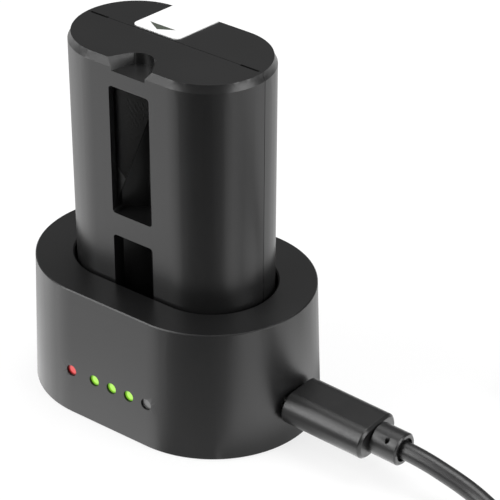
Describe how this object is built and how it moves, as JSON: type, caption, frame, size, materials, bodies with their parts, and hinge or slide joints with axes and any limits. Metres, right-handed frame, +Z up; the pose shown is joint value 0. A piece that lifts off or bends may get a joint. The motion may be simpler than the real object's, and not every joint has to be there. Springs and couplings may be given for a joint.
{
  "type": "flash battery charger",
  "caption": "Stadium-shaped black charging cradle with an upright two-cell pack in its well, status lights and a USB lead in its end.",
  "frame": {"origin": "centre of the cradle's footprint, on the surface that its feet stand on", "axes": "+Z up, the longest extent; +X along the cradle towards the socket; -Y is the side with the lights"},
  "size_m": [0.1652, 0.0676, 0.0745],
  "materials": {
    "cradle_plastic": "black plastic with a fine satin grain",
    "cover_plastic": "matt black plastic",
    "pack_plastic": "black plastic with a fine satin grain",
    "plug_plastic": "soft black moulded vinyl, satin",
    "cable_jacket": "soft black vinyl jacket",
    "tie_strap": "black woven strap",
    "foot_rubber": "matt black rubber",
    "screw_steel": "zinc-plated",
    "board_green": "green solder mask",
    "chip_black": "matt black moulding",
    "ferrite": "grey ferrite",
    "capacitor_tan": "tan ceramic",
    "chip_lens": "milky resin",
    "red_light": "lit red light pipe",
    "green_light": "lit yellow-green light pipe",
    "unlit_light": "unlit clear light pipe",
    "connector_steel": "nickel-plated sheet steel",
    "contact_gold": "gold-plated",
    "cell_sleeve": "blue shrink sleeve",
    "insulator_paper": "pale fibre paper",
    "nickel": "plain nickel strip",
    "label_film": "pale satin film"
  },
  "bodies": {
    "root": {"charger_housing": "cradle_plastic", "bottom_cover": "cover_plastic", "rubber_feet": "foot_rubber", "cover_screws": "screw_steel", "circuit_board": "board_green", "charge_controller": "chip_black", "power_inductor": "ferrite", "board_capacitors": "capacitor_tan", "lamp_board": "board_green", "light_chips": "chip_lens", "red_light_pipe": "red_light", "green_light_pipe_left": "green_light", "green_light_pipe_middle": "green_light", "green_light_pipe_right": "green_light", "unlit_light_pipe": "unlit_light", "usb_socket": "connector_steel", "socket_tongue": "chip_black", "contact_carrier": "cover_plastic", "contact_blade_left": "contact_gold", "contact_blade_middle": "contact_gold", "contact_blade_right": "contact_gold", "pack_front_case": "pack_plastic", "pack_rear_case": "pack_plastic", "left_cell": "cell_sleeve", "right_cell": "cell_sleeve", "cell_insulators": "insulator_paper", "top_strip": "nickel", "bottom_strips": "nickel", "protection_board": "board_green", "protection_chips": "chip_black", "pack_contacts": "contact_gold", "pack_label": "label_film", "plug_shell": "connector_steel", "plug_grip": "plug_plastic", "strain_relief": "plug_plastic", "cable": "cable_jacket", "cable_coil": "cable_jacket", "cable_end": "cable_jacket", "cable_tie": "tie_strap", "far_plug_grip": "plug_plastic", "far_plug_shell": "connector_steel", "far_plug_tongue": "chip_black", "far_plug_contacts": "contact_gold"}
  },
  "joints": []
}
